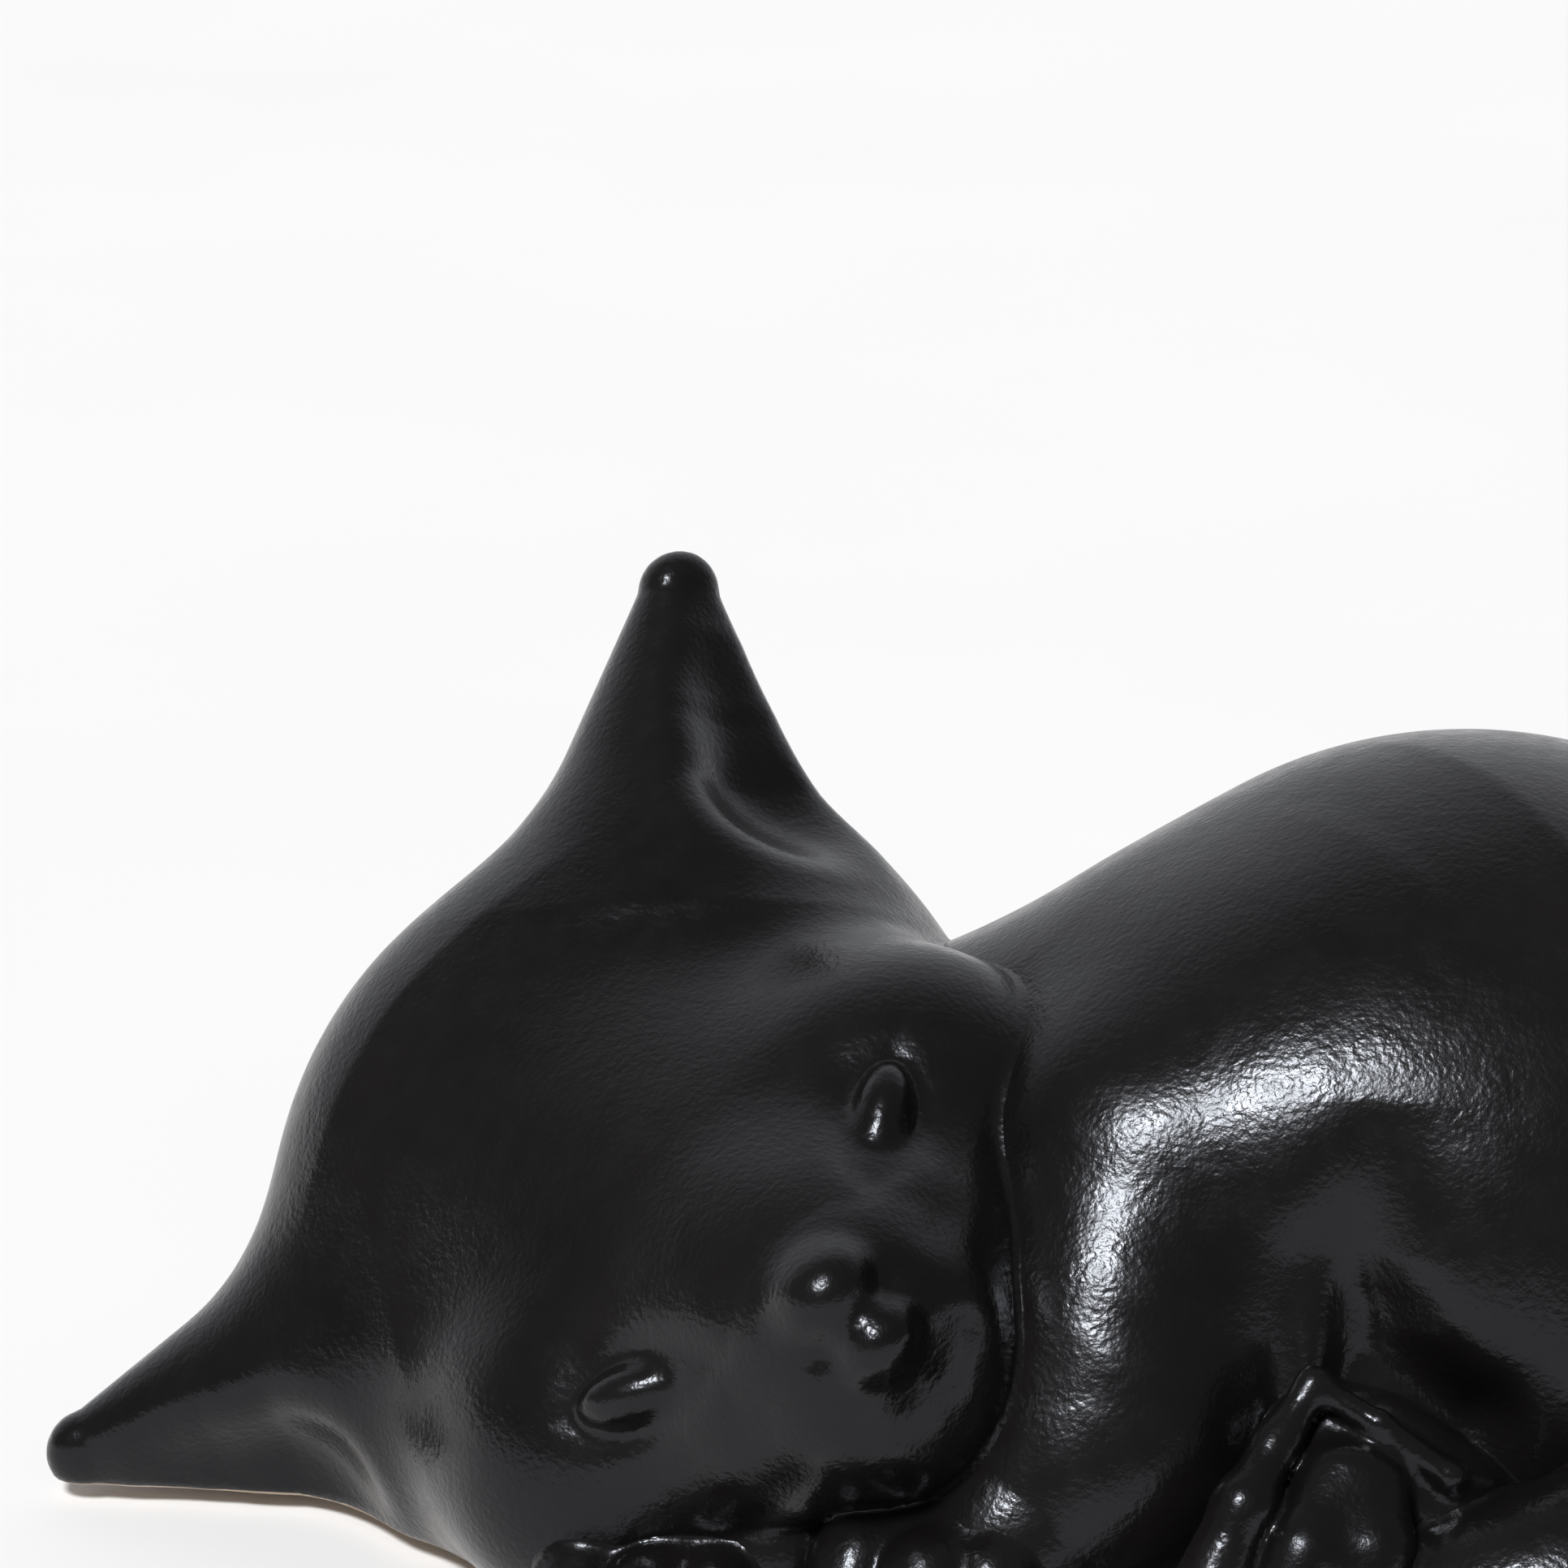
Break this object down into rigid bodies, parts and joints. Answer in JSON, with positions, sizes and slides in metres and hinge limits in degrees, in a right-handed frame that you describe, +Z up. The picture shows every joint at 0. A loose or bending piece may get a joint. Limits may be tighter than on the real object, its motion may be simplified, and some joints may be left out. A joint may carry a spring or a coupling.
{
  "type": "cat figurine",
  "caption": "Glazed ceramic figurine of a kitten curled up asleep, its head rolled onto its forepaws, standing on felt pads.",
  "frame": {"origin": "on the surface that the figure stands on, under the middle of its box", "axes": "+Z up, -Y the front that the face looks to, +X from the head end to the rump end"},
  "size_m": [0.1649, 0.1037, 0.0726],
  "materials": {
    "black_glaze": "satin black glaze with a fine orange-peel surface",
    "felt": "pressed wool felt"
  },
  "bodies": {
    "root": {"body_shell": "black_glaze", "head_shell": "black_glaze", "left_forepaw": "black_glaze", "right_forepaw": "black_glaze", "left_hind_foot": "black_glaze", "tail": "black_glaze", "felt_pad_1": "felt", "felt_pad_2": "felt", "felt_pad_3": "felt", "felt_pad_4": "felt"}
  },
  "joints": []
}
